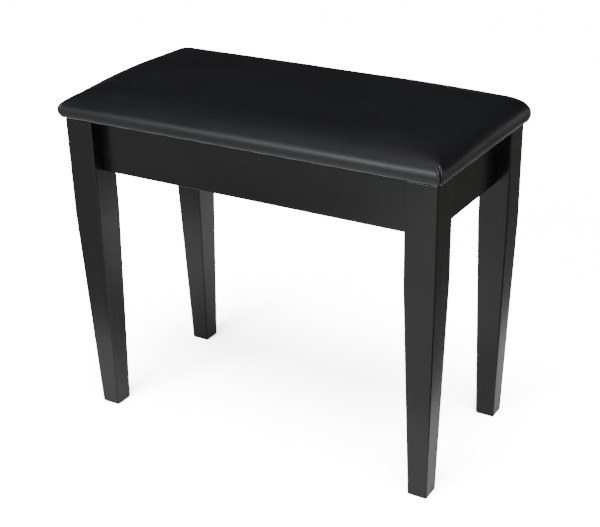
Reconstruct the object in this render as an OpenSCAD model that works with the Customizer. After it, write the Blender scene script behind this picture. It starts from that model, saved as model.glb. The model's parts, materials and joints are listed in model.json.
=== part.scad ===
// Piano bench: a fixed upholstered seat on a knock-down frame with four tapered square legs.
// Millimetres, +Z up. Origin: on the floor, under the centre of the bench. The front faces -Y.

/* [Legs] */
// Length of a leg, floor to leg top
leg_h = 450; // [380:1:560]
// Side of the square leg at its top
leg_top = 44; // [36:0.5:60]
// Side of the square foot
foot_w = 28.5; // [20:0.5:34]
// How far the foot's outer faces stand in from the leg's outer faces
foot_set_in = 8.5; // [2:0.5:14]
// Length of the straight block at the top of a leg
leg_block_h = 139; // [110:1:180]
// Rounding of the leg's long edges
leg_edge_r = 1.6; // [0.8:0.1:4]

/* [Frame] */
// Length over the outer faces of the legs
frame_l = 562; // [440:1:900]
// Depth over the outer faces of the legs
frame_w = 279; // [240:1:400]
// Height of the aprons
apron_h = 77; // [64:1:100]
// Thickness of the aprons
apron_t = 18; // [15:0.5:22]
// How far the aprons stand in from the leg's outer faces
apron_inset = 18; // [6:0.5:21]
// Rounding of the apron's lower edges
apron_edge_r = 1.2; // [0.6:0.1:4]
// Gap between the seat and the leg tops, by which the aprons stand taller than the legs
leg_gap = 2; // [1.8:0.1:5]

/* [Seat] */
// How far the seat stands out past the legs, all round
overhang = 8; // [3:0.5:30]
// Height of the seat from its underside to the middle of its crown
seat_h = 41; // [36:0.5:80]
// Corner radius of the seat, seen from above
seat_corner_r = 12; // [10:0.5:40]
// Height of the seat's side, from its underside to where the crown starts
side_h = 20; // [18:0.5:30]
// Height of the widest line of the seat's side
belly_h = 12; // [8:0.5:12]
// How far the seat's lower edge is drawn in under its widest line
tuck = 5; // [2:0.5:6]
// Radius of the soft edge between the side and the crown
shoulder_r = 5; // [3:0.5:6]
// Fullness of the crown: higher is flatter on top and steeper at the edge
crown_power = 7; // [4:0.5:9]
// Thickness of the plywood seat board
board_t = 12; // [9:0.5:15]
// Thickness of the vinyl cover
cover_t = 1.2; // [0.8:0.1:2]
// How far the folded vinyl reaches in past the dust cover's edge
fold_overlap = 22; // [20:1:40]
// Thickness of the dust cover
dust_t = 0.5; // [0.3:0.1:0.8]
// Gap between the dust cover's edge and the inner faces of the aprons
dust_gap = 4; // [2:0.5:6]

/* [Fasteners] */
// Diameter of the apron dowels
dowel_d = 8; // [6:0.5:10]
// Length of the apron dowels
dowel_l = 34; // [24:1:36]
// Diameter of the hanger bolts
bolt_d = 8; // [6:0.5:10]
// Depth of the hanger bolt in the leg
bolt_depth = 34; // [20:1:40]
// Diameter of the wood screws
screw_d = 4; // [3:0.5:5]
// Length of the screws that hold the corner brackets
bracket_screw_l = 15; // [10:0.5:16]
// Length of the screws that hold the cleats to the aprons
cleat_screw_l = 30; // [24:1:32]
// Crown width of a staple
staple_w = 10; // [6:0.5:13]
// Length of a staple's legs
staple_leg = 8; // [5:0.5:10]
// Spacing of the staples in the folded vinyl
cover_staple_pitch = 44; // [30:1:70]
// Spacing of the staples in the dust cover
dust_staple_pitch = 62; // [40:1:90]

/* [Corner brackets and cleats] */
// Distance along each apron from the inner corner to the bracket's bend
bracket_reach = 46; // [40:1:54]
// Length of the bracket's flange on each apron
flange_l = 24; // [18:1:26]
// Height of the bracket
bracket_h = 40; // [34:1:46]
// Thickness of the bracket's steel
bracket_t = 2; // [1.5:0.1:3]
// Side of the square seat cleats
cleat_w = 18; // [16:0.5:22]
// How far the cleats stay below the apron tops
cleat_drop = 1.6; // [1.4:0.1:4]
// Gap between a cleat's end and the bracket's flange
cleat_end_gap = 6; // [3:0.5:20]

/* [Hidden] */

// fits
hole_fit = 0.1;        // radial clearance of every screw, dowel and bolt in its hole
soft_fit = 0.3;        // gap between layers of the upholstery
staple_fit = 0.1;      // clearance of a staple in the board and the cover
dust_fit = 0.05;       // gap between the dust cover and the folded vinyl
bracket_hole_fit = 0.4;
corner_steps = 6;      // flats in a quarter turn of a lofted section's corner

// seat in plan
seat_l = frame_l + 2 * overhang;
seat_w = frame_w + 2 * overhang;

// levels
seat_z = leg_h + leg_gap;                      // underside of the seat, on the apron tops
board_z = seat_z + cover_t + soft_fit;
board_top = board_z + board_t;
seat_top = seat_z + seat_h;
side_top = seat_z + side_h;
belly_z = seat_z + belly_h;
apron_z = seat_z - apron_h;
bolt_z = apron_z + apron_h / 2;
cleat_top = seat_z - cleat_drop;
cleat_z = cleat_top - cleat_w;

// frame in plan
leg_in_x = frame_l / 2 - leg_top;              // inner faces of the legs
leg_in_y = frame_w / 2 - leg_top;
rail_in_x = frame_l / 2 - apron_inset - apron_t;   // inner faces of the aprons
rail_in_y = frame_w / 2 - apron_inset - apron_t;
rail_mid_x = rail_in_x + apron_t / 2;
rail_mid_y = rail_in_y + apron_t / 2;
leg_flat = 9;                                  // width of the flat cut on the leg's inner edge

// dowels: those of the long aprons sit nearer the bolt than those of the short aprons
dowel_wall = 5;
dowel_dz_long = bolt_d / 2 + dowel_d / 2 + dowel_wall;
dowel_dz_short = dowel_dz_long + dowel_d + dowel_wall;
dowel_in_leg = dowel_l / 2 - 1;
dowel_chamfer = 1;

// screws
head_d = 2 * screw_d;
head_h = 0.6 * screw_d;
recess_w = 0.25 * screw_d;
point_l = 1.5 * screw_d;
bracket_screw_dz = bracket_h / 2 - 8;
cleat_half = rail_in_x - bracket_reach - flange_l - cleat_end_gap;
cleat_end_margin = 20;
cleat_step = (cleat_half - cleat_end_margin) / 3;
cleat_screw_x = [for (k = [-3, -1, 1, 3]) k * cleat_step];
seat_screw_x = [for (k = [-2, 0, 2]) k * cleat_step];
seat_screw_y = rail_in_y - cleat_w / 2;
seat_screw_in_board = 0.75 * board_t;
seat_screw_l = board_z + seat_screw_in_board - cleat_z;

// bolts, washers and wing nuts
bolt_point = 4;
washer_d = 2.2 * bolt_d;
washer_t = 1.6;
nut_d = 2 * bolt_d;
nut_h = bolt_d;
wing_l = 1.9 * bolt_d;
wing_h = 1.6 * bolt_d;
wing_t = 2.6;
bolt_past_nut = 4;
// distance along the diagonal from the leg's inner corner to the bracket's outer face
corner_x = rail_in_x - leg_in_x;
bracket_dist = (bracket_reach - 2 * corner_x) / sqrt(2);
bolt_tail = bracket_dist + bracket_t + washer_t + nut_h + bolt_past_nut;

// staples
wire_t = 0.6;
wire_w = 1.2;
dust_half_x = rail_in_x - dust_gap;
dust_half_y = rail_in_y - dust_gap;
fold_x = dust_half_x - fold_overlap;           // edge of the folded vinyl
fold_y = dust_half_y - fold_overlap;
cover_staple_out = 8;                          // from the edge of the folded vinyl
dust_staple_out = 4;
board_in = tuck + cover_t + soft_fit;           // from the seat's widest line
board_half_x = seat_l / 2 - board_in;
board_half_y = seat_w / 2 - board_in;
board_corner_r = seat_corner_r - cover_t - soft_fit - tuck / 2;

// colours
lacquer = [0.035, 0.035, 0.038];
vinyl = [0.06, 0.06, 0.065];
steel = [0.62, 0.63, 0.65];
wood = [0.74, 0.60, 0.42];
foam = [0.86, 0.80, 0.62];

// ---- shared shapes ----

module rounded_rect(l, w, r) {
    square([l - 2 * r, w], center = true);
    square([l, w - 2 * r], center = true);
    for (x = [-1, 1], y = [-1, 1])
        translate([x * (l / 2 - r), y * (w / 2 - r)]) circle(r, $fn = 32);
}

// Points of a rounded rectangle at height z, anticlockwise seen from above.
function ring(l, w, r, mid, z) = [
    for (q = [0 : 3], i = [0 : corner_steps])
        let (turn = 90 * (q + i / corner_steps), side_x = q == 0 || q == 3 ? 1 : -1,
             side_y = q < 2 ? 1 : -1)
            [mid[0] + side_x * (l / 2 - r) + r * cos(turn),
             mid[1] + side_y * (w / 2 - r) + r * sin(turn), z]
];

// A closed solid through a list of rings, from the lowest to the highest.
module loft(rings) {
    n = len(rings[0]);
    levels = len(rings);
    sides = [for (k = [0 : levels - 2], i = [0 : n - 1])
        let (j = (i + 1) % n) [k * n + i, (k + 1) * n + i, (k + 1) * n + j, k * n + j]];
    base = [for (i = [0 : n - 1]) i];
    top = [for (i = [0 : n - 1]) levels * n - 1 - i];
    polyhedron(points = [for (r = rings) each r], faces = concat([base], sides, [top]));
}

// Runs its children from the leg's inner corner (at the origin) towards the leg along +X.
module along_bolt(sx, sy) {
    translate([sx * leg_in_x, sy * leg_in_y, bolt_z])
        rotate([0, 0, atan2(sy, sx)]) rotate([0, 90, 0]) children();
}

// A wood screw along +Z: its head's underside is at z = 0 and its shank points up.
module screw(length) {
    difference() {
        translate([0, 0, -head_h]) cylinder(h = head_h, d1 = 0.8 * head_d, d2 = head_d, $fn = 32);
        for (a = [0, 90]) rotate([0, 0, a])
            translate([0, 0, -head_h]) cube([0.6 * head_d, recess_w, head_h], center = true);
    }
    cylinder(h = length - point_l, d = screw_d, $fn = 32);
    translate([0, 0, length - point_l]) cylinder(h = point_l, d1 = screw_d, d2 = 0.2, $fn = 32);
}

// The hole for a screw of this length, past its point by the fit.
module screw_hole(length) {
    translate([0, 0, -1]) cylinder(h = length + 1 + hole_fit, r = screw_d / 2 + hole_fit, $fn = 32);
}

// ---- placing of repeated fasteners ----

module bracket_screw_places() {
    for (sx = [-1, 1], sy = [-1, 1], dz = [-1, 1]) {
        translate([sx * (rail_in_x - bracket_reach - flange_l / 2), sy * (rail_in_y - bracket_t),
                   bolt_z + dz * bracket_screw_dz]) rotate([-sy * 90, 0, 0]) children();
        translate([sx * (rail_in_x - bracket_t), sy * (rail_in_y - bracket_reach - flange_l / 2),
                   bolt_z + dz * bracket_screw_dz]) rotate([0, sx * 90, 0]) children();
    }
}

module cleat_screw_places() {
    for (sy = [-1, 1], x = cleat_screw_x)
        translate([x, sy * (rail_in_y - cleat_w), cleat_z + cleat_w / 2])
            rotate([-sy * 90, 0, 0]) children();
}

module seat_screw_places() {
    for (sy = [-1, 1], x = seat_screw_x) translate([x, sy * seat_screw_y, cleat_z]) children();
}

// Dowels run along +X or +Y from the middle of the joint between an apron and a leg.
module long_dowel_places() {
    for (sx = [-1, 1], sy = [-1, 1], dz = [-1, 1])
        translate([sx * leg_in_x, sy * rail_mid_y, bolt_z + dz * dowel_dz_long])
            rotate([0, sx * 90, 0]) children();
}

module short_dowel_places() {
    for (sx = [-1, 1], sy = [-1, 1], dz = [-1, 1])
        translate([sx * rail_mid_x, sy * leg_in_y, bolt_z + dz * dowel_dz_short])
            rotate([-sy * 90, 0, 0]) children();
}

// A dowel along +Z, with dowel_in_leg of its length above z = 0.
module dowel() {
    low = dowel_in_leg - dowel_l;
    translate([0, 0, low]) cylinder(h = dowel_chamfer, d1 = dowel_d - 2 * dowel_chamfer,
                                    d2 = dowel_d, $fn = 32);
    translate([0, 0, low + dowel_chamfer])
        cylinder(h = dowel_l - 2 * dowel_chamfer, d = dowel_d, $fn = 32);
    translate([0, 0, dowel_in_leg - dowel_chamfer])
        cylinder(h = dowel_chamfer, d1 = dowel_d, d2 = dowel_d - 2 * dowel_chamfer, $fn = 32);
}

module dowel_hole() {
    translate([0, 0, dowel_in_leg - dowel_l - 1])
        cylinder(h = dowel_l + 2, r = dowel_d / 2 + hole_fit, $fn = 32);
}

// A rectangle of staples with half sizes hx and hy, about a pitch apart, clear of its corners.
module staple_places(hx, hy, pitch, corner) {
    nx = floor(2 * (hx - corner) / pitch);
    ny = floor(2 * (hy - corner) / pitch);
    for (s = [-1, 1], i = [0 : nx])
        translate([-(hx - corner) + i * 2 * (hx - corner) / nx, s * hy, 0]) children();
    for (s = [-1, 1], i = [0 : ny])
        translate([s * hx, -(hy - corner) + i * 2 * (hy - corner) / ny, 0])
            rotate([0, 0, 90]) children();
}

// A staple with its crown's underside at z = 0 and its legs up; grow widens it into its slot.
module staple(grow) {
    translate([0, 0, wire_t / 2])
        cube([staple_w + 2 * grow, wire_w + 2 * grow, wire_t + 2 * grow], center = true);
    for (x = [-1, 1])
        translate([x * (staple_w - wire_t) / 2, 0, staple_leg / 2])
            cube([wire_t + 2 * grow, wire_w + 2 * grow, staple_leg + 2 * grow], center = true);
}

module cover_staple_places() {
    translate([0, 0, seat_z])
        staple_places(fold_x + cover_staple_out, fold_y + cover_staple_out,
                      cover_staple_pitch, 26) children();
}

module dust_staple_places() {
    translate([0, 0, seat_z - dust_t - wire_t])
        staple_places(fold_x + dust_staple_out, fold_y + dust_staple_out,
                      dust_staple_pitch, 14) children();
}

// ---- seat ----

// How far the side stands in from its widest line at height z: a quarter ellipse under the belly.
function side_inset(z) =
    z < belly_z ? tuck * (1 - sqrt(1 - pow((belly_z - z) / belly_h, 2))) : 0;

// A level of the seat's form: inset from its widest line, at height z.
function seat_ring(inset, z) =
    let (half = seat_w / 2 - inset, r = min(seat_corner_r + inset / 3, 0.9 * half))
        ring(seat_l - 2 * inset, 2 * half, r, [0, 0], z);

// The seat's outer form, drawn in by d and started at z_low: a rounded side with its lower edge
// tucked under, a soft shoulder, and a crown that steepens towards the shoulder.
module seat_form(d, z_low) {
    last_turn = 40;
    edge_in = shoulder_r * (1 - cos(last_turn));
    edge_z = side_top - shoulder_r + shoulder_r * sin(last_turn);
    ridge_in = seat_w / 2 - d - 1;
    loft(concat(
        [for (turn = [90 : -15 : 0])
            let (z = belly_z - (belly_z - z_low) * sin(turn)) seat_ring(d + side_inset(z), z)],
        [for (turn = [0 : 10 : last_turn])
            seat_ring(d + shoulder_r * (1 - cos(turn)),
                      side_top - shoulder_r - d + shoulder_r * sin(turn))],
        [for (t = [0.03, 0.07, 0.12, 0.18, 0.26, 0.38, 0.6, 1])
            seat_ring(d + edge_in + t * (ridge_in - edge_in),
                      edge_z - d + (seat_top - edge_z) * (1 - pow(1 - t, crown_power)))]
    ));
}

module seat_cover() {
    color(vinyl) difference() {
        seat_form(0, seat_z);
        seat_form(cover_t, seat_z + cover_t);
        translate([0, 0, seat_z - 1]) linear_extrude(cover_t + 2)
            square([2 * fold_x, 2 * fold_y], center = true);
        cover_staple_places() staple(staple_fit);
        dust_staple_places() staple(staple_fit);
        seat_screw_places() screw_hole(seat_screw_l);
    }
}

// The board's outline grown by a margin, from z to z + h.
module board_slab(margin, z, h) {
    translate([0, 0, z]) linear_extrude(h)
        rounded_rect(2 * (board_half_x + margin), 2 * (board_half_y + margin),
                     board_corner_r + margin);
}

// The foam lies on the board and wraps down over its edge.
module seat_foam() {
    color(foam) difference() {
        seat_form(cover_t + soft_fit, board_z);
        board_slab(soft_fit, board_z - 1, board_t + 1 + soft_fit);
    }
}

module seat_board() {
    color(wood) difference() {
        board_slab(0, board_z, board_t);
        cover_staple_places() staple(staple_fit);
        dust_staple_places() staple(staple_fit);
        seat_screw_places() screw_hole(seat_screw_l);
    }
}

module cover_staples() { color(steel) cover_staple_places() staple(0); }

module dust_cover() {
    color([0.09, 0.09, 0.09]) difference() {
        translate([0, 0, seat_z - dust_t]) linear_extrude(dust_t - dust_fit)
            square([2 * dust_half_x, 2 * dust_half_y], center = true);
        dust_staple_places() staple(staple_fit);
        seat_screw_places() screw_hole(seat_screw_l);
    }
}

module dust_staples() { color(steel) dust_staple_places() staple(0); }

// ---- frame ----

// An apron from -length/2 to length/2 along X, with its outer face at y = 0 and its back at +Y.
module apron_bar(length) {
    rotate([90, 0, 90]) translate([apron_t / 2, apron_z + apron_h / 2, -length / 2])
        linear_extrude(length) {
            rounded_rect(apron_t, apron_h, apron_edge_r);
            translate([0, apron_h / 4]) square([apron_t, apron_h / 2], center = true);
        }
}

module apron_holes() {
    long_dowel_places() dowel_hole();
    short_dowel_places() dowel_hole();
    bracket_screw_places() screw_hole(bracket_screw_l);
    cleat_screw_places() screw_hole(cleat_screw_l);
}

module long_apron(side) {
    color(lacquer) difference() {
        rotate([0, 0, side > 0 ? 180 : 0]) translate([0, -rail_in_y - apron_t, 0])
            apron_bar(2 * leg_in_x);
        apron_holes();
    }
}

module short_apron(side) {
    color(lacquer) difference() {
        rotate([0, 0, side * 90]) translate([0, -rail_in_x - apron_t, 0])
            apron_bar(2 * leg_in_y);
        apron_holes();
    }
}

module front_apron() { long_apron(-1); }
module back_apron() { long_apron(1); }
module left_apron() { short_apron(-1); }
module right_apron() { short_apron(1); }

// The leg in the corner (sx, sy): a straight block on a taper whose outer faces lean in less
// or more than its inner faces, as the foot's size and place set it.
module leg(sx, sy) {
    function section(side, outer, z) =
        ring(side, side, leg_edge_r, [sx * (frame_l / 2 - outer - side / 2),
                                      sy * (frame_w / 2 - outer - side / 2)], z);
    color(lacquer) difference() {
        loft([
            section(foot_w, foot_set_in, 0),
            section(leg_top, 0, leg_h - leg_block_h),
            section(leg_top, 0, leg_h)
        ]);
        along_bolt(sx, sy) translate([0, 0, -1])
            cylinder(h = bolt_depth + 1 + hole_fit, r = bolt_d / 2 + hole_fit, $fn = 32);
        translate([sx * leg_in_x, sy * leg_in_y, bolt_z])
            rotate([0, 0, 45]) cube([leg_flat, leg_flat, apron_h], center = true);
        long_dowel_places() dowel_hole();
        short_dowel_places() dowel_hole();
    }
}

module leg_front_left() { leg(-1, -1); }
module leg_front_right() { leg(1, -1); }
module leg_back_left() { leg(-1, 1); }
module leg_back_right() { leg(1, 1); }

module apron_dowels() {
    color(wood) {
        long_dowel_places() dowel();
        short_dowel_places() dowel();
    }
}

// ---- corner brackets ----

// Plan of the bracket in the +X +Y corner: two flanges on the aprons and the plate across.
module bracket_plan() {
    bend = bracket_t * (sqrt(2) - 1);
    ax = rail_in_x - bracket_reach;
    ay = rail_in_y - bracket_reach;
    polygon([
        [ax - flange_l, rail_in_y],
        [ax, rail_in_y],
        [rail_in_x, ay],
        [rail_in_x, ay - flange_l],
        [rail_in_x - bracket_t, ay - flange_l],
        [rail_in_x - bracket_t, ay - bend],
        [ax - bend, rail_in_y - bracket_t],
        [ax - flange_l, rail_in_y - bracket_t]
    ]);
}

module bracket(sx, sy) {
    color(steel) difference() {
        mirror([sx < 0 ? 1 : 0, 0, 0]) mirror([0, sy < 0 ? 1 : 0, 0])
            translate([0, 0, bolt_z - bracket_h / 2]) linear_extrude(bracket_h) bracket_plan();
        along_bolt(sx, sy) translate([0, 0, -2 * bracket_reach])
            cylinder(h = 2 * bracket_reach, r = bolt_d / 2 + bracket_hole_fit, $fn = 32);
        bracket_screw_places() screw_hole(bracket_screw_l);
    }
}

module bracket_front_left() { bracket(-1, -1); }
module bracket_front_right() { bracket(1, -1); }
module bracket_back_left() { bracket(-1, 1); }
module bracket_back_right() { bracket(1, 1); }

module bracket_screws() { color(steel) bracket_screw_places() screw(bracket_screw_l); }

module at_bolts() {
    for (sx = [-1, 1], sy = [-1, 1]) along_bolt(sx, sy) children();
}

module hanger_bolts() {
    color(steel) at_bolts() {
        translate([0, 0, -bolt_tail]) cylinder(h = bolt_tail + bolt_depth - bolt_point, d = bolt_d,
                                               $fn = 32);
        translate([0, 0, bolt_depth - bolt_point])
            cylinder(h = bolt_point, d1 = bolt_d, d2 = 1, $fn = 32);
    }
}

module washers() {
    color(steel) at_bolts() translate([0, 0, -bracket_dist - bracket_t - washer_t]) difference() {
        cylinder(h = washer_t, d = washer_d, $fn = 48);
        translate([0, 0, -1]) cylinder(h = washer_t + 2, r = bolt_d / 2 + bracket_hole_fit, $fn = 32);
    }
}

module wing_nuts() {
    nut_z = bracket_dist + bracket_t + washer_t;
    color(steel) at_bolts() translate([0, 0, -nut_z]) rotate([180, 0, 0]) difference() {
        union() {
            cylinder(h = nut_h, d1 = nut_d, d2 = 0.75 * nut_d, $fn = 32);
            rotate([90, 0, 0]) translate([0, 0, -wing_t / 2]) linear_extrude(wing_t)
                for (s = [-1, 1]) wing(s);
        }
        translate([0, 0, -1]) cylinder(h = nut_h + wing_h, r = bolt_d / 2 + hole_fit, $fn = 32);
    }
}

// One wing of the nut, in the plane of its axis: a lobe on a tapering root.
module wing(s) {
    polygon([[0, 1], [s * wing_l, 0.62 * wing_h], [s * wing_l, wing_h], [s * 0.4 * wing_l, nut_h],
             [0, nut_h]]);
    translate([s * 0.84 * wing_l, 0.82 * wing_h]) circle(0.24 * wing_l, $fn = 24);
}

// ---- cleats ----

module cleat(side) {
    color(wood) difference() {
        translate([-cleat_half, side > 0 ? rail_in_y - cleat_w : -rail_in_y, cleat_z])
            cube([2 * cleat_half, cleat_w, cleat_w]);
        cleat_screw_places() screw_hole(cleat_screw_l);
        seat_screw_places() screw_hole(seat_screw_l);
    }
}

module front_cleat() { cleat(-1); }
module back_cleat() { cleat(1); }
module cleat_screws() { color(steel) cleat_screw_places() screw(cleat_screw_l); }
module seat_screws() { color(steel) seat_screw_places() screw(seat_screw_l); }

seat_cover();
seat_foam();
seat_board();
cover_staples();
dust_cover();
dust_staples();
front_apron();
back_apron();
left_apron();
right_apron();
leg_front_left();
leg_front_right();
leg_back_left();
leg_back_right();
bracket_front_left();
bracket_front_right();
bracket_back_left();
bracket_back_right();
bracket_screws();
hanger_bolts();
washers();
wing_nuts();
front_cleat();
back_cleat();
cleat_screws();
seat_screws();
apron_dowels();
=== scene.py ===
# %% [markdown]
# # A piano bench with an upholstered seat
# The bench is a low frame of black wood under a thin padded seat. Four square legs taper to the
# floor, four aprons join them a little behind their faces, and the seat overhangs all of it.
# The wooden parts, brackets and screws were designed as solids, so this lesson starts from them
# and works in the same frame: metres, Z up, the front of the bench towards -Y.

# %% Open the frame
import json
import math

import bpy
import numpy as np
from mathutils import Matrix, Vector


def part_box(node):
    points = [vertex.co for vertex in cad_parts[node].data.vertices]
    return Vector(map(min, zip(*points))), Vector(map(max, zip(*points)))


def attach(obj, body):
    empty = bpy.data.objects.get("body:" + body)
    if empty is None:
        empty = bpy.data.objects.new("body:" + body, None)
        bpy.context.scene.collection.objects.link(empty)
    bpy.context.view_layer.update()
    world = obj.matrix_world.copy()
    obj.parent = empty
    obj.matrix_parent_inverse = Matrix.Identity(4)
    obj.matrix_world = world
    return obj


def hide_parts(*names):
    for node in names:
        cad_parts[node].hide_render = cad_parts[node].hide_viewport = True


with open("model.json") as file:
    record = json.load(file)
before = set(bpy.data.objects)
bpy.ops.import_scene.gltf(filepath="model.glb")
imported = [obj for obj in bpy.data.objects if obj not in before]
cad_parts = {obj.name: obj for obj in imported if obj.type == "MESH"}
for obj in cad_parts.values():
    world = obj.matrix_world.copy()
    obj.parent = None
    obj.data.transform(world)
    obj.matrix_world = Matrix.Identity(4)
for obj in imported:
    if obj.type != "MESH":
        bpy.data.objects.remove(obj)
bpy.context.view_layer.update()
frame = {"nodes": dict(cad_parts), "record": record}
MM = 0.001

# %% [markdown]
# ## The viewpoint
# The bench is seen from the front right, a little above its seat. A camera can be aimed with a
# tracking constraint, but here its three directions are written as vectors, because that also
# fixes its small roll. A long lens keeps the legs nearly parallel, as a shop's studio does.

# %% Camera
AZIMUTH, ELEVATION, ROLL = (math.radians(a) for a in (27.32, 24.21, 0.32))
CAMERA_PLACE = (0.8118, -1.3198, 0.9404)
SENSOR_WIDTH, LENS = 36.0, 70.758
SHIFT_X, SHIFT_Y = -0.1297, -0.0102
FAR_CLIP = 60.0
forward = np.array([-math.sin(AZIMUTH) * math.cos(ELEVATION),
                    math.cos(AZIMUTH) * math.cos(ELEVATION), -math.sin(ELEVATION)])
level_right = np.cross(forward, (0, 0, 1))
level_right /= np.linalg.norm(level_right)
level_up = np.cross(level_right, forward)
cam_right = level_right * math.cos(ROLL) + level_up * math.sin(ROLL)
cam_up = level_up * math.cos(ROLL) - level_right * math.sin(ROLL)

camera_data = bpy.data.cameras.new("bench_camera")
camera_data.sensor_width = SENSOR_WIDTH
camera_data.lens = LENS
camera_data.shift_x = SHIFT_X
camera_data.shift_y = SHIFT_Y
camera_data.clip_end = FAR_CLIP
camera = bpy.data.objects.new("bench_camera", camera_data)
bpy.context.collection.objects.link(camera)
axes = np.eye(4)
axes[:3, 0], axes[:3, 1], axes[:3, 2], axes[:3, 3] = cam_right, cam_up, -forward, CAMERA_PLACE
camera.matrix_world = Matrix(axes.tolist())
bpy.context.scene.camera = camera
print("camera lens", round(LENS, 1), "mm")

# %% [markdown]
# ## Meshes from numbers
# Every new piece is a grid of points: rings that run once round the piece, stacked from one end
# to the other. Writing the whole grid with numpy and handing it to the mesh in one call is far
# quicker than moving vertices one by one, and the formula stays readable.

# %% From a grid of points to an object
def grid_faces(rows, columns):
    """Quads between neighbouring rings, each ring closed on itself."""
    index = np.arange(rows * columns).reshape(rows, columns)
    after = np.roll(index, -1, axis=1)
    return np.stack([index[:-1], after[:-1], after[1:], index[1:]], axis=-1).reshape(-1, 4)


def mesh_object(name, points, faces):
    """A smooth shaded object from points and faces, linked to the scene."""
    mesh = bpy.data.meshes.new(name)
    mesh.from_pydata(points, [], faces)
    mesh.polygons.foreach_set("use_smooth", np.ones(len(mesh.polygons), dtype=bool))
    piece = bpy.data.objects.new(name, mesh)
    bpy.context.collection.objects.link(piece)
    return piece


def ringed_object(name, grid):
    """A closed solid from a (rings, points, 3) grid; the first and last rings are capped."""
    rows, columns = grid.shape[:2]
    faces = grid_faces(rows, columns).tolist()
    last = (rows - 1) * columns
    faces.append(list(range(columns))[::-1])
    faces.append(list(range(last, last + columns)))
    return mesh_object(name, grid.reshape(-1, 3).tolist(), faces)


def softened_square(side_x, side_y, radius, steps=5, guard=0.6 * MM):
    """A rectangle round the origin, anticlockwise, with quarter-circle corners. Two guard points
    a little way along each flat keep the smooth shading of the corners off the flats."""
    turn = np.radians(np.linspace(0, 90, steps + 1))
    arc = np.stack([np.cos(turn), np.sin(turn)], axis=-1) * radius
    quarter = np.concatenate([arc[:1] - (0, guard), arc, arc[-1:] - (guard, 0)])
    points = []
    for k, (sx, sy) in enumerate(((1, 1), (-1, 1), (-1, -1), (1, -1))):
        c, s = (1, 0, -1, 0)[k], (0, 1, 0, -1)[k]
        turned = np.stack([quarter[:, 0] * c - quarter[:, 1] * s,
                           quarter[:, 0] * s + quarter[:, 1] * c], axis=-1)
        points.append(turned + (sx * (side_x / 2 - radius), sy * (side_y / 2 - radius)))
    return np.concatenate(points)


print("helpers ready; a softened square has", len(softened_square(1, 1, 0.1)), "points")

# %% [markdown]
# ## The legs
# Each leg is sawn from a square billet and tapered below the aprons, more on its inner faces
# than on its outer ones. A box with a scaled end would do, but its edges would be knife sharp.
# Rings of a softened square carried from foot to top keep the small rounding that the sander
# leaves, which is what catches the light on black lacquer.

# %% Leg surface
LEG_EDGE = 1.6 * MM
FOOT_SIDE = 28.5 * MM
BLOCK_LOW = 311 * MM
END_EASE = 0.9 * MM
LEG_HEIGHTS = np.array([0, 0.25, 0.6, 1, 3, 60, 120, 180, 240, 290, 306, 309.5, 311, 312.5, 316,
                        350, 400, 440]) * MM
BELOW_TOP = np.array([3, 1, 0.5, 0.2, 0]) * MM
feet = {m["name"]: m for m in frame["record"]["mounts"]}


def leg_surface(low, high, foot_centre):
    """Rings at height z: side and centre run in a straight line from foot to block, then stay."""
    top_side = high[0] - low[0]
    top_centre = np.array([(low[0] + high[0]) / 2, (low[1] + high[1]) / 2])
    tall = high[2]
    z = np.concatenate([LEG_HEIGHTS, tall - BELOW_TOP])
    share = np.clip(z / BLOCK_LOW, 0, 1)
    ends = np.minimum(z, tall - z) / END_EASE
    ease = END_EASE * (1 - np.sqrt(1 - (1 - np.clip(ends, 0, 1)) ** 2))
    side = FOOT_SIDE + (top_side - FOOT_SIDE) * share - 2 * ease
    centre = foot_centre + (top_centre - foot_centre) * share[:, None]
    rings = np.stack([softened_square(s, s, LEG_EDGE) for s in side])
    height = np.broadcast_to(z[:, None, None], rings.shape[:2] + (1,))
    return np.concatenate([rings + centre[:, None, :], height], axis=-1)


leg_pieces = {}
for corner in ("front_left", "front_right", "back_left", "back_right"):
    low, high = (np.array(c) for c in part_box("leg_" + corner))
    spot = feet["foot_" + corner]["pos_m"]
    leg = ringed_object("lacquered_leg_" + corner, leg_surface(low, high, np.array(spot[:2])))
    leg_pieces["leg_" + corner] = leg
print("legs:", {n: len(p.data.polygons) for n, p in leg_pieces.items()})

# %% [markdown]
# ## The aprons
# The aprons are planed boards on edge. Their lower arrises are eased so that they don't cut a
# hand that lifts the bench. One section, carried along the board, makes all four.

# %% Apron boards
APRON_EDGE = 1.3 * MM


def board_surface(low, high, along):
    """A softened rectangle in the plane across the board, carried along the axis 'along'."""
    a, b = (along + 1) % 3, (along + 2) % 3
    size = high - low
    middle = (low + high) / 2
    section = softened_square(size[a], size[b], APRON_EDGE)
    inner = np.linspace(0.02, 0.98, 24)
    steps = low[along] + size[along] * np.concatenate([[0, 0.002], inner, [0.998, 1]])
    grid = np.empty((len(steps), len(section), 3))
    grid[..., along] = steps[:, None]
    grid[..., a] = middle[a] + section[:, 0]
    grid[..., b] = middle[b] + section[:, 1]
    return grid


apron_pieces = {}
for side, along in (("front", 0), ("back", 0), ("left", 1), ("right", 1)):
    low, high = (np.array(c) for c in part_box(side + "_apron"))
    board = ringed_object("lacquered_apron_" + side, board_surface(low, high, along))
    apron_pieces[side + "_apron"] = board
print("aprons:", list(apron_pieces))

# %% [markdown]
# ## The seat cover
# The seat is a foam pad on a thin board, wrapped in black vinyl that is pulled round the lower
# edge and stapled underneath. The side is rounded and tucked in below, and the top rises from it
# in one convex curve that flattens towards the middle, more squarely at the back. The cover is
# one closed form made of rings: each ring is a rounded rectangle, and the profile says how far in
# and how high each ring is.

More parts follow.
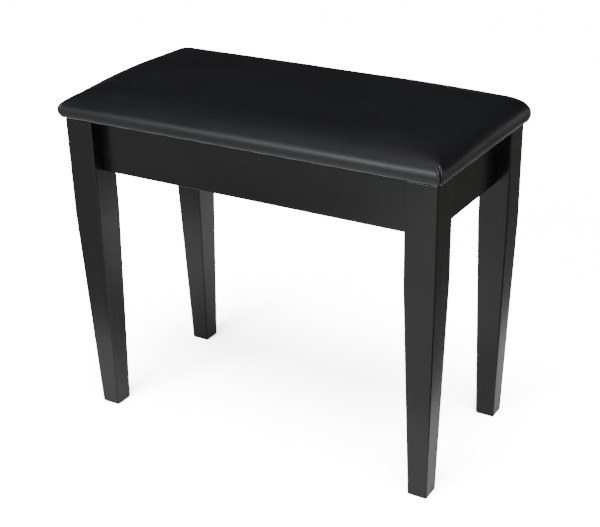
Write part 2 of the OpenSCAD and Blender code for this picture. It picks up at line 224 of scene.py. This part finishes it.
# %% Profile of the cover
cover_low, cover_high = (np.array(c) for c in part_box("seat_cover"))
HALF_X, HALF_Y = cover_high[0], cover_high[1]
UNDERSIDE = cover_low[2]
CROWN_TOP = cover_high[2] - 0.6 * MM
BELLY = 11 * MM
TUCK = 6 * MM
FRONT_POWER, BACK_POWER = 4.5, 20.0
VINYL = 1.2 * MM
FOLD_INSET = 70 * MM
CORNER = 5.5 * MM
CORNER_GROWTH = 0.5
FOLD_RINGS, FLAT_RINGS, TURN_RINGS, CROWN_RINGS = 3, 14, 14, 72
LIP_INSETS = (TUCK + 2.2 * MM, TUCK + 0.9 * MM)


def smooth_step(t):
    """0 below 0, 1 above 1, and t * t * (3 - 2 * t) between."""
    t = np.clip(t, 0, 1)
    return t * t * (3 - 2 * t)


def crown_rise(inset, power):
    """Height above the folded edge at an inset: B + H * sqrt(1 - (1 - t) ** n), t = inset / half
    width. It leaves the side upright, is convex everywhere and ends flat in the middle."""
    t = inset / (HALF_Y - MM)
    return BELLY + (CROWN_TOP - UNDERSIDE - BELLY) * np.sqrt(1 - (1 - t) ** power)


def cover_profile():
    """Insets and heights from the folded edge underneath, out, round the tucked lower edge (a
    quarter ellipse) and in along the crown."""
    fold = np.array([[FOLD_INSET + 1.0 * MM, VINYL], [FOLD_INSET, VINYL], [FOLD_INSET, 0.0]])
    flat_in = np.append(np.linspace(FOLD_INSET - MM, TUCK + 4 * MM, FLAT_RINGS), LIP_INSETS)
    flat = np.stack([flat_in, np.zeros_like(flat_in)], axis=-1)
    turn = np.radians(np.linspace(90, 0, TURN_RINGS))
    under = np.stack([TUCK * (1 - np.cos(turn)), BELLY * (1 - np.sin(turn))], axis=-1)
    crown_in = (HALF_Y - MM) * np.linspace(0, 1, CROWN_RINGS + 1)[1:] ** 2
    crown = np.stack([crown_in, crown_rise(crown_in, FRONT_POWER)], axis=-1)
    return np.concatenate([fold, flat, under, crown])


profile = cover_profile()
print("cover profile:", len(profile), "rings")

# %% Round the cover
SIDE_STEPS, CORNER_STEPS = 110, 48


def once_round():
    """For each point of a ring: which way its corner centre lies (fx, fy) and its direction from
    that centre (cx, cy). Points crowd towards the corners, where the pleats need them."""
    spread = np.sin(np.linspace(-1, 1, SIDE_STEPS + 2)[1:-1] * math.pi / 2)
    turn = np.radians(np.linspace(0, 90, CORNER_STEPS + 1))
    one, zero = np.ones(SIDE_STEPS), np.zeros(SIDE_STEPS)
    straights = ((-spread, one, zero, one), (-one, -spread, -one, zero),
                 (spread, -one, zero, -one), (one, spread, one, zero))
    parts = []
    for k, (sx, sy) in enumerate(((1, 1), (-1, 1), (-1, -1), (1, -1))):
        angle = turn + k * math.pi / 2
        whole = np.ones(CORNER_STEPS + 1)
        parts.append(np.stack([sx * whole, sy * whole, np.cos(angle), np.sin(angle)], axis=-1))
        parts.append(np.stack(straights[k], axis=-1))
    return np.concatenate(parts).T


def cover_grid(rings, around):
    """Ring v is a rounded rectangle drawn in by rings[v, 0] at height rings[v, 1]; its corner
    radius grows with the inset, and never passes nine tenths of the half width."""
    fx, fy, cx, cy = around
    inset, rise = rings[:, 0], rings[:, 1]
    radius = np.minimum(CORNER + inset * CORNER_GROWTH, 0.9 * (HALF_Y - inset))
    arm_x, arm_y = HALF_X - inset - radius, HALF_Y - inset - radius
    x = arm_x[:, None] * fx + radius[:, None] * cx
    y = arm_y[:, None] * fy + radius[:, None] * cy
    z = np.broadcast_to((UNDERSIDE + rise)[:, None], x.shape)
    return np.stack([x, y, z], axis=-1)


BACK_REACH, RIGHT_FROM, RIGHT_SHARE = 1.35, 0.3, 0.7


def fuller_back(grid):
    """How much higher the crown stands as its power goes from FRONT_POWER to BACK_POWER towards
    the back edge, less so at the back right corner."""
    x, y = grid[..., 0] / HALF_X, grid[..., 1] / HALF_Y
    back = smooth_step((y + 1) / BACK_REACH)
    share = back * (1 - RIGHT_SHARE * smooth_step((x - RIGHT_FROM) / (1 - RIGHT_FROM)))
    power = FRONT_POWER + (BACK_POWER - FRONT_POWER) * share
    inset = np.where(profile[:, 1:] > BELLY, profile[:, :1], 0)
    return crown_rise(inset, power) - crown_rise(inset, FRONT_POWER)


around = once_round()
smooth_cover = cover_grid(profile, around)
smooth_cover[..., 2] += fuller_back(smooth_cover)
print("cover grid:", smooth_cover.shape)

# %% [markdown]
# ## Letting the pad swell
# Foam pushes the vinyl out until its tension holds it. Cloth simulation with a little pressure
# finds that shape by itself. A coarse copy of the same grid is enough: its lower rings are pinned
# where the staples hold the real cover, gravity is off, and only how far each point moved is kept,
# which is then spread over the fine grid.

# %% Simulate a coarse copy
SWELL_CAP = 5 * MM
PRESSURE = 4.0
SIM_FRAMES = 20
RING_STEP, POINT_STEP = 3, 6
SMOOTHING_PASSES = 14
first_free = int(np.argmax(profile[:, 1] > BELLY + MM))


def swelling(grid):
    """Moves of a (rings, points) grid under pressure, capped at SWELL_CAP."""
    sim = ringed_object("swelling_copy", grid)
    pins = sim.vertex_groups.new(name="stapled")
    held = np.arange(3 * grid.shape[1]).tolist()
    pins.add(held, 1.0, "REPLACE")
    cloth = sim.modifiers.new("Cloth", "CLOTH")
    cloth.settings.quality = 6
    cloth.settings.mass = 0.3
    cloth.settings.tension_stiffness = 40
    cloth.settings.compression_stiffness = 40
    cloth.settings.shear_stiffness = 12
    cloth.settings.bending_stiffness = 2
    cloth.settings.vertex_group_mass = "stapled"
    cloth.settings.use_pressure = True
    cloth.settings.uniform_pressure_force = PRESSURE
    cloth.settings.effector_weights.gravity = 0.0
    for step in range(1, SIM_FRAMES + 1):
        bpy.context.scene.frame_set(step)
    settled = sim.evaluated_get(bpy.context.evaluated_depsgraph_get()).data
    place = np.empty(len(settled.vertices) * 3)
    settled.vertices.foreach_get("co", place)
    bpy.context.scene.frame_set(1)
    moved = place.reshape(grid.shape) - grid
    bpy.data.objects.remove(sim)
    length = np.linalg.norm(moved, axis=-1, keepdims=True)
    return moved * np.minimum(1, SWELL_CAP / np.maximum(length, 1e-9))


ring_pick = np.unique(np.append(np.arange(first_free, len(profile), RING_STEP), len(profile) - 1))
point_pick = np.arange(0, smooth_cover.shape[1], POINT_STEP)
coarse = smooth_cover[np.ix_(ring_pick, point_pick)]
moves = swelling(coarse)
for _ in range(SMOOTHING_PASSES):
    moves = (np.roll(moves, 1, axis=1) + 2 * moves + np.roll(moves, -1, axis=1)) / 4
    padded_moves = np.concatenate([moves[:1], moves, moves[-1:]])
    moves = (padded_moves[:-2] + 2 * moves + padded_moves[2:]) / 4
print("pad swells by up to", round(float(np.abs(moves[..., 2]).max()) / MM, 2), "mm")


# %% Spread the swelling over the fine grid
def spread_moves(moves, rings, points, shape):
    """Linear interpolation, first round each ring (which closes on itself), then across rings."""
    rows, columns = shape[:2]
    column = np.arange(columns)
    closed_points = np.append(points, columns)
    closed = np.concatenate([moves, moves[:, :1]], axis=1)
    right = np.clip(np.searchsorted(closed_points, column, side="right"), 1, len(points))
    share = (column - closed_points[right - 1]) / (closed_points[right] - closed_points[right - 1])
    round_ring = closed[:, right - 1] * (1 - share)[:, None] + closed[:, right] * share[:, None]
    row = np.arange(rows)
    below = np.clip(np.searchsorted(rings, row, side="right"), 1, len(rings) - 1)
    up = np.clip((row - rings[below - 1]) / (rings[below] - rings[below - 1]), 0, 1)
    return round_ring[below - 1] * (1 - up)[:, None, None] + round_ring[below] * up[:, None, None]


SWELL_KEPT = 0.3
LEVEL_FROM, LEVEL_OVER = 25 * MM, 40 * MM
swell = spread_moves(moves, ring_pick, point_pick, smooth_cover.shape)
swell[:first_free] = 0
swell[..., 2] = np.maximum(swell[..., 2], 0)
inward = smooth_step((profile[:, 0] - LEVEL_FROM) / LEVEL_OVER)[:, None]
middle_rise = swell[-1, :, 2].mean()
swell[..., :2] *= (1 - inward)[..., None]
swell[..., 2] = swell[..., 2] * (1 - inward) + middle_rise * inward
cover = smooth_cover + SWELL_KEPT * swell
print("kept", SWELL_KEPT, "of the swelling")

# %% [markdown]
# ## Folds, gathers and small faults
# Vinyl can't shrink round a corner, so the upholsterer folds the surplus into one pleat at each
# corner. It makes a sharp groove with a raised lip on both sides. Between the corners the sides
# are drawn in a little, the lower edge is gathered a little by each staple and ends in a faint
# bead, and the crown has long shallow hollows. Each fault is a smooth function of the distance
# round the ring or of the plan position, added along the surface's own direction. The last step
# keeps the cover inside its solid's box, which cuts the middle of the crown off level.

# %% Directions and distances on the cover
def outward(grid):
    """The cross product of the steps round and across the rings, made unit length."""
    across = np.gradient(grid, axis=0)
    about = np.roll(grid, -1, axis=1) - np.roll(grid, 1, axis=1)
    normal = np.cross(about, across)
    return normal / np.maximum(np.linalg.norm(normal, axis=-1, keepdims=True), 1e-12)


per_side = SIDE_STEPS + CORNER_STEPS + 1
corner_middles = np.arange(4) * per_side + CORNER_STEPS // 2
widest = smooth_cover[first_free]
stride = np.linalg.norm(np.roll(widest, -1, axis=0) - widest, axis=-1)
travel = np.concatenate([[0], np.cumsum(stride)[:-1]])
whole_way = stride.sum()
print("once round the seat:", round(whole_way, 3), "m")


def from_corner(k):
    """Signed distance round the ring from the middle of corner k."""
    gap = travel - travel[corner_middles[k]]
    return (gap + whole_way / 2) % whole_way - whole_way / 2


# %% Shape the faults
PLEAT_DEPTH = 1.5 * MM
PULL_IN = 0.6 * MM
GATHER = 0.22 * MM
BEAD, BEAD_HIGH, BEAD_WIDE = 0.4 * MM, 1.3 * MM, 1.0 * MM
FADE_FROM, FADE_OVER = 18 * MM, 7 * MM
SLACK, SLACK_FROM, SLACK_OVER = 2.5 * MM, 14 * MM, 16 * MM
PLEATS = ((0.9, 1), (1.0, -1), (1.1, 1), (1.25, -1))  # depth and lean at each corner
rise = smooth_cover[..., 2] - UNDERSIDE
inset = np.broadcast_to(profile[:, :1], rise.shape)
is_side = np.zeros_like(rise)
is_side[FOLD_RINGS + FLAT_RINGS:] = 1.0
side_fade = is_side * np.clip(1 - (rise - FADE_FROM) / FADE_OVER, 0, 1)
normal = outward(cover)

pleat = np.zeros_like(rise)
for k, (depth, lean) in enumerate(PLEATS):
    s = from_corner(k)
    groove = -np.exp(-(s / (0.9 * MM)) ** 2)
    lips = 0.45 * np.exp(-((s - lean * 2.4 * MM) / (1.5 * MM)) ** 2)
    lips += 0.25 * np.exp(-((s + lean * 2.6 * MM) / (1.9 * MM)) ** 2)
    pleat += PLEAT_DEPTH * depth * (groove + lips) * side_fade

middle_x = 1 - (smooth_cover[..., 0] / HALF_X) ** 2
middle_y = 1 - (smooth_cover[..., 1] / HALF_Y) ** 2
edge_fade = np.clip(1 - inset / (60 * MM), 0, 1) * is_side
pull = np.zeros_like(cover)
facing_y = np.abs(around[3]) > 0.99
facing_x = np.abs(around[2]) > 0.99
pull[..., 1] = -np.sign(smooth_cover[..., 1]) * PULL_IN * middle_x * edge_fade * facing_y
pull[..., 0] = -np.sign(smooth_cover[..., 0]) * PULL_IN * middle_y * edge_fade * facing_x

low_fade = is_side * np.exp(-(rise / (6 * MM)) ** 2)
bead = BEAD * is_side * np.exp(-((rise - BEAD_HIGH) / BEAD_WIDE) ** 2)
gather = GATHER * low_fade * (np.sin(2 * math.pi * travel / (44 * MM))
                              + 0.5 * np.sin(2 * math.pi * travel / (17 * MM) + 1.3))

x, y = smooth_cover[..., 0], smooth_cover[..., 1]
hollow = (np.sin(x * 21 + 0.6) * np.sin(y * 34 + 1.1) * 0.22 + np.sin(x * 9 - y * 25) * 0.16
          + np.sin(x * 47 + y * 13 + 2.0) * 0.06) * MM
hollow = hollow * is_side * np.clip(inset / (12 * MM), 0, 1)
worn_corner = np.exp(-((x + HALF_X) / 0.10) ** 2 - ((y + HALF_Y) / 0.09) ** 2)
slack = SLACK * worn_corner * is_side * np.clip((rise - SLACK_FROM) / SLACK_OVER, 0, 1)

cover = cover + normal * (pleat + gather + bead + hollow)[..., None] + pull
cover[..., 2] -= slack
cover[..., 0] = np.clip(cover[..., 0], cover_low[0], cover_high[0])
cover[..., 1] = np.clip(cover[..., 1], cover_low[1], cover_high[1])
cover[..., 2] = np.clip(cover[..., 2], UNDERSIDE, cover_high[2])
vinyl_cover = ringed_object("vinyl_seat_cover", cover)
print("cover:", len(vinyl_cover.data.polygons), "faces")

# %% [markdown]
# ## The dust cover
# A thin black non-woven cloth is stapled under the seat to hide the raw edge of the vinyl. It is
# stretched by hand, so it hangs a millimetre or two in the middle. It is a sheet: one grid with a
# wall given by Solidify.

# %% Dust cover sheet
dust_low, dust_high = (np.array(c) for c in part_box("dust_cover"))
SAG = 1.6 * MM


def dust_sheet():
    """z = sag times two arches, (1 - x^2)(1 - y^2), plus shallow ripples that die at the edge."""
    u, v = np.meshgrid(np.linspace(-1, 1, 97), np.linspace(-1, 1, 41))
    half = (dust_high - dust_low) / 2
    fade = (1 - u ** 2) * (1 - v ** 2)
    z = dust_high[2] - 0.02 * MM - SAG * fade
    z -= 0.25 * MM * fade * np.sin(9 * u + 4 * v) + 0.12 * MM * fade * np.sin(23 * u - 11 * v)
    return np.stack([u * half[0], v * half[1], z], axis=-1)


sheet_points = dust_sheet()
rows, columns = sheet_points.shape[:2]
index = np.arange(rows * columns).reshape(rows, columns)
quads = np.stack([index[:-1, :-1], index[:-1, 1:], index[1:, 1:], index[1:, :-1]], axis=-1)
dust_piece = mesh_object("dust_sheet", sheet_points.reshape(-1, 3).tolist(),
                         quads.reshape(-1, 4).tolist())
wall = dust_piece.modifiers.new("wall", "SOLIDIFY")
wall.thickness = 0.43 * MM
wall.offset = -1.0
print("dust cover cut size", 2 * dust_high[0], "by", 2 * dust_high[1], "m")

# %% [markdown]
# ## Finishes
# Every finish is built from nodes, on Object coordinates, so that it stays on its piece from all
# sides. Each has a base colour with slow variation, its own gloss with small changes, and a bump
# at the scale of the real grain.

# %% Node helpers
class Finish:
    """A material with its Principled shader, and short ways to add noise, ramps and bump."""

    def __init__(self, name):
        self.material = bpy.data.materials.new(name)
        self.material.use_nodes = True
        self.nodes = self.material.node_tree.nodes
        self.links = self.material.node_tree.links
        self.shader = self.nodes["Principled BSDF"]
        self.place = self.nodes.new("ShaderNodeTexCoord").outputs["Object"]

    def noise(self, scale, stretch=(1, 1, 1), detail=3.0):
        mapping = self.nodes.new("ShaderNodeMapping")
        mapping.inputs["Scale"].default_value = stretch
        self.links.new(self.place, mapping.inputs["Vector"])
        texture = self.nodes.new("ShaderNodeTexNoise")
        texture.inputs["Scale"].default_value = scale
        texture.inputs["Detail"].default_value = detail
        self.links.new(mapping.outputs["Vector"], texture.inputs["Vector"])
        return texture.outputs["Fac"]

    def cells(self, scale, feature="F1"):
        texture = self.nodes.new("ShaderNodeTexVoronoi")
        texture.feature = feature
        texture.inputs["Scale"].default_value = scale
        self.links.new(self.place, texture.inputs["Vector"])
        return texture.outputs["Distance"]

    def ramp(self, value, stops):
        ramp = self.nodes.new("ShaderNodeValToRGB")
        elements = ramp.color_ramp.elements
        while len(elements) < len(stops):
            elements.new(0.5)
        for element, (spot, colour) in zip(elements, stops):
            element.position = spot
            element.color = (*colour, 1.0) if hasattr(colour, "__len__") else (colour,) * 3 + (1,)
        self.links.new(value, ramp.inputs["Fac"])
        return ramp.outputs["Color"]

    def mix(self, share, first, second):
        node = self.nodes.new("ShaderNodeMix")
        node.data_type = "RGBA"
        self.links.new(share, node.inputs[0])
        for socket, value in ((node.inputs[6], first), (node.inputs[7], second)):
            if hasattr(value, "is_output"):
                self.links.new(value, socket)
            else:
                socket.default_value = (*value, 1.0)
        return node.outputs[2]

    def bump(self, height, depth, strength=1.0, under=None):
        node = self.nodes.new("ShaderNodeBump")
        node.inputs["Strength"].default_value = strength
        node.inputs["Distance"].default_value = depth
        self.links.new(height, node.inputs["Height"])
        if under is not None:
            self.links.new(under, node.inputs["Normal"])
        return node.outputs["Normal"]

    def dress(self, colour, roughness, normal=None, **plain):
        for name, value in (("Base Color", colour), ("Roughness", roughness), ("Normal", normal)):
            if value is not None:
                self.links.new(value, self.shader.inputs[name])
        for name, value in plain.items():
            self.shader.inputs[name.replace("_", " ")].default_value = value
        return self.material


print("finish helpers ready")

# %% [markdown]
# ### Black lacquer
# The frame is sprayed with satin black lacquer. It shows a very fine orange peel, faint streaks
# of the grain that telegraph through, a few pale specks of dust, and arrises where the film is
# thinner and a shade lighter.

# %% Lacquer
def lacquer_finish(name, grain):
    finish = Finish(name)
    cloudy = finish.ramp(finish.noise(7, detail=4),
                         [(0.3, (0.0026, 0.0026, 0.0023)), (0.7, (0.0046, 0.0045, 0.0040))])
    specks = finish.ramp(finish.cells(95), [(0.0, 1.0), (0.035, 1.0), (0.05, 0.0)])
    rare = finish.ramp(finish.noise(31, detail=1), [(0.60, 0.0), (0.66, 1.0)])
    dusty = finish.nodes.new("ShaderNodeMath")
    dusty.operation = "MULTIPLY"
    finish.links.new(specks, dusty.inputs[0])
    finish.links.new(rare, dusty.inputs[1])
    colour = finish.mix(dusty.outputs[0], cloudy, (0.10, 0.10, 0.10))
    worn = finish.ramp(finish.nodes.new("ShaderNodeNewGeometry").outputs["Pointiness"],
                       [(0.53, 0.0), (0.62, 0.55)])
    colour = finish.mix(worn, colour, (0.035, 0.034, 0.032))
    gloss = finish.ramp(finish.noise(55, grain, detail=5), [(0.3, 0.21), (0.7, 0.30)])
    streaks = finish.bump(finish.noise(120, grain, detail=5), 0.00006, 0.22)
    peel = finish.bump(finish.noise(520, detail=2), 0.00005, 0.4, streaks)
    return finish.dress(colour, gloss, peel, IOR=1.5)


lacquer_upright = lacquer_finish("black_lacquer_upright", (1, 1, 0.05))
lacquer_along_x = lacquer_finish("black_lacquer_long", (0.05, 1, 1))
lacquer_along_y = lacquer_finish("black_lacquer_short", (1, 0.05, 1))
for piece in leg_pieces.values():
    piece.data.materials.append(lacquer_upright)
for node, piece in apron_pieces.items():
    lengthwise = node in ("front_apron", "back_apron")
    piece.data.materials.append(lacquer_along_x if lengthwise else lacquer_along_y)
print("lacquer on", len(leg_pieces) + len(apron_pieces), "pieces")

# %% [markdown]
# ### Vinyl
# Upholstery vinyl is pressed with a fine leather grain: small pebbles with narrow valleys. The
# pebbles come from the distance to the nearest of many scattered points, and finer noise breaks
# them up. The sheen is soft, and a shade glossier where hands have rubbed it. Along the lower
# edge, where the vinyl turns under, a ramp on height paints a pale line into the base colour: a
# painted highlight, for the light that the rolled edge catches.

# %% Vinyl and dust cloth
# Height of the band above the underside where a painted highlight, a pale line, goes into the
# vinyl's base colour.
PAINTED_HIGHLIGHT_BAND = 2.4 * MM
vinyl = Finish("black_vinyl")
tone = vinyl.ramp(vinyl.noise(5, detail=3),
                  [(0.3, (0.0056, 0.0058, 0.0062)), (0.7, (0.0086, 0.0089, 0.0098))])
split = vinyl.nodes.new("ShaderNodeSeparateXYZ")
vinyl.links.new(vinyl.place, split.inputs[0])
highlight_band_height = vinyl.nodes.new("ShaderNodeMapRange")
highlight_band_height.inputs["From Min"].default_value = UNDERSIDE
highlight_band_height.inputs["From Max"].default_value = UNDERSIDE + PAINTED_HIGHLIGHT_BAND
vinyl.links.new(split.outputs["Z"], highlight_band_height.inputs["Value"])
# Painted highlight along the lower edge: this ramp turns the base colour pale grey in that band,
# standing in for light caught by the rolled edge.
folded = vinyl.ramp(highlight_band_height.outputs["Result"],
                    [(0.10, 0.0), (0.22, 0.8), (0.62, 0.8), (0.95, 0.0)])
tone = vinyl.mix(folded, tone, (0.12, 0.12, 0.12))
rubbed = vinyl.ramp(vinyl.noise(9, detail=4), [(0.3, 0.36), (0.7, 0.46)])
pebbles = vinyl.bump(vinyl.cells(720, "SMOOTH_F1"), 0.00022, 0.55)
creases = vinyl.bump(vinyl.noise(1400, detail=3), 0.00008, 0.5, pebbles)
vinyl_cover.data.materials.append(vinyl.dress(tone, rubbed, creases, IOR=1.5))

cloth = Finish("dust_cloth")
fibres = cloth.noise(900, (1, 0.25, 1), detail=6)
cloth_tone = cloth.ramp(fibres, [(0.35, (0.012, 0.012, 0.012)), (0.7, (0.045, 0.045, 0.046))])
dust_piece.data.materials.append(
    cloth.dress(cloth_tone, cloth.ramp(fibres, [(0.3, 0.85), (0.7, 0.97)]),
                cloth.bump(fibres, 0.0002, 0.8)))
print("vinyl and dust cloth ready")

# %% [markdown]
# ### Metal, bare wood and foam
# The brackets, bolts and screws are zinc plated: bright, with a bluish cast and dull patches. The
# cleats and the board are bare wood with a stretched grain. They keep their own solids and only
# get these finishes.

# %% Finishes of the carried-over solids
def zinc_finish():
    finish = Finish("zinc_steel")
    patches = finish.noise(70, detail=5)
    colour = finish.ramp(patches, [(0.3, (0.42, 0.44, 0.48)), (0.7, (0.62, 0.64, 0.66))])
    gloss = finish.ramp(patches, [(0.3, 0.48), (0.7, 0.28)])
    rolled = finish.bump(finish.noise(600, (1, 1, 0.1), detail=3), 0.00006, 0.5)
    return finish.dress(colour, gloss, rolled, Metallic=1.0)


def wood_finish(name, light, dark, stretch):
    finish = Finish(name)
    grain = finish.noise(160, stretch, detail=7)
    colour = finish.ramp(grain, [(0.25, dark), (0.75, light)])
    return finish.dress(colour, finish.ramp(grain, [(0.3, 0.72), (0.7, 0.58)]),
                        finish.bump(grain, 0.0003, 0.6))


def foam_finish():
    finish = Finish("foam")
    pores = finish.cells(900)
    colour = finish.ramp(pores, [(0.1, (0.42, 0.33, 0.16)), (0.6, (0.78, 0.68, 0.42))])
    return finish.dress(colour, finish.ramp(pores, [(0.1, 0.9), (0.6, 0.98)]),
                        finish.bump(pores, 0.0006, 0.9))


zinc = zinc_finish()
bare = wood_finish("bare_wood", (0.62, 0.43, 0.24), (0.40, 0.25, 0.12), (0.06, 1, 1))
plywood = wood_finish("plywood", (0.60, 0.44, 0.27), (0.36, 0.24, 0.13), (0.06, 0.3, 1.6))
finishes = {"zinc_steel": zinc, "staple_wire": zinc, "bare_wood": bare, "plywood": plywood,
            "foam": foam_finish()}
replaced = {*leg_pieces, *apron_pieces, "seat_cover", "seat_foam", "dust_cover"}
slots = {part["node"]: part["material_slot"] for part in frame["record"]["subparts"]}
for node, slot in slots.items():
    if node not in replaced:
        solid = frame["nodes"][node]
        solid.data.materials.clear()
        solid.data.materials.append(finishes[slot])
print("solids with their own finish:", len(slots) - len(replaced))

# %% [markdown]
# ## Floor and light
# A black piece shows only what it reflects. The floor is white, so the upright faces show a soft
# grey that grows towards the feet. For the camera alone it is lit far more strongly, so that it
# reads as pure white, and the world is white for the camera but dark in reflections, so that the
# top stays deep black. Three grey cards on the floor are seen only in reflections and darken one
# side of the legs. One soft key light high in front draws the line along the seat's shoulder.

# %% Floor, cards and lights
FLOOR_OVERLIT = 14.0
WORLD_SEEN = 16.0


def flat_card(name, centre, half_x, half_y, colour):
    """A level rectangle for the set, in one plain colour."""
    cx, cy, cz = centre
    card = mesh_object(name, [(cx - half_x, cy - half_y, cz), (cx + half_x, cy - half_y, cz),
                              (cx + half_x, cy + half_y, cz), (cx - half_x, cy + half_y, cz)],
                       [(0, 1, 2, 3)])
    material = bpy.data.materials.new(name)
    material.use_nodes = True
    shader = material.node_tree.nodes["Principled BSDF"]
    shader.inputs["Base Color"].default_value = (*colour, 1.0)
    shader.inputs["Roughness"].default_value = 0.9
    shader.inputs["Specular IOR Level"].default_value = 0.0
    card.data.materials.append(material)
    return card


floor = flat_card("studio_floor", (0, 0, 0), 14, 14, (0.9, 0.9, 0.9))
floor_tree = floor.data.materials[0].node_tree
floor_out = floor_tree.nodes["Material Output"]
overlit = floor_tree.nodes.new("ShaderNodeBsdfDiffuse")
overlit.inputs["Color"].default_value = (FLOOR_OVERLIT,) * 3 + (1,)
floor_path = floor_tree.nodes.new("ShaderNodeLightPath")
floor_choice = floor_tree.nodes.new("ShaderNodeMixShader")
floor_tree.links.new(floor_path.outputs["Is Camera Ray"], floor_choice.inputs[0])
floor_tree.links.new(floor_tree.nodes["Principled BSDF"].outputs[0], floor_choice.inputs[1])
floor_tree.links.new(overlit.outputs[0], floor_choice.inputs[2])
floor_tree.links.new(floor_choice.outputs[0], floor_out.inputs["Surface"])
right_card = flat_card("right_card", (1.37, 0.9, 0.004), 1.0, 2.0, (0.13, 0.13, 0.122))
left_card = flat_card("left_card", (-1.35, -1.5, 0.005), 1.10, 1.2, (0.27, 0.27, 0.27))
front_card = flat_card("front_card", (0.9, -1.5, 0.003), 1.2, 1.2, (0.66, 0.66, 0.65))
for card in (right_card, left_card, front_card):
    card.visible_camera = False
    card.visible_diffuse = False
    card.visible_shadow = False


def add_light(name, kind, energy, aim, **settings):
    data = bpy.data.lights.new(name, kind)
    data.energy = energy
    for key, value in settings.items():
        setattr(data, key, value)
    lamp = bpy.data.objects.new(name, data)
    bpy.context.collection.objects.link(lamp)
    place, target = (np.array(p, dtype=float) for p in aim)
    back = (place - target) / np.linalg.norm(place - target)
    side = np.cross((0, 1, 0.01), back)
    side /= np.linalg.norm(side)
    turn = np.eye(4)
    turn[:3, 0], turn[:3, 1], turn[:3, 2], turn[:3, 3] = side, np.cross(back, side), back, place
    lamp.matrix_world = Matrix(turn.tolist())
    return lamp


SUN_STRENGTH = 2.6
add_light("sky_panel", "SUN", SUN_STRENGTH, ((0.5, -0.8, 3.2), (0, 0, 0)), angle=math.radians(38))
add_light("key_panel", "AREA", 85.0, ((-0.55, -3.0, 1.75), (0.1, -0.14, 0.47)),
          shape="RECTANGLE", size=2.4, size_y=1.1, color=(0.90, 0.95, 1.0))

def background(colour, strength=1.0):
    node = tree.nodes.new("ShaderNodeBackground")
    node.inputs["Color"].default_value = (*colour, 1)
    node.inputs["Strength"].default_value = strength
    return node


world = bpy.data.worlds.new("studio")
bpy.context.scene.world = world
world.use_nodes = True
tree = world.node_tree
tree.nodes.clear()
out = tree.nodes.new("ShaderNodeOutputWorld")
seen = background((1, 1, 1), WORLD_SEEN)
lit = background((0.030, 0.030, 0.032))
fill = background((0.28, 0.28, 0.28))
path = tree.nodes.new("ShaderNodeLightPath")
soften = tree.nodes.new("ShaderNodeMixShader")
choose = tree.nodes.new("ShaderNodeMixShader")
tree.links.new(path.outputs["Is Diffuse Ray"], soften.inputs[0])
tree.links.new(lit.outputs[0], soften.inputs[1])
tree.links.new(fill.outputs[0], soften.inputs[2])
tree.links.new(path.outputs["Is Camera Ray"], choose.inputs[0])
tree.links.new(soften.outputs[0], choose.inputs[1])
tree.links.new(seen.outputs[0], choose.inputs[2])
tree.links.new(choose.outputs[0], out.inputs["Surface"])
print("set ready")

# %% [markdown]
# ## Putting the pieces on one body
# The bench has no moving parts, so everything rides on one body. Each new piece is attached to
# that body, and the solid that it stands for is hidden.

# %% Hand over the pieces
for node, piece in {**leg_pieces, **apron_pieces}.items():
    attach(piece, "root")
    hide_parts(node)

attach(vinyl_cover, "root")
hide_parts("seat_cover", "seat_foam")

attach(dust_piece, "root")
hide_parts("dust_cover")
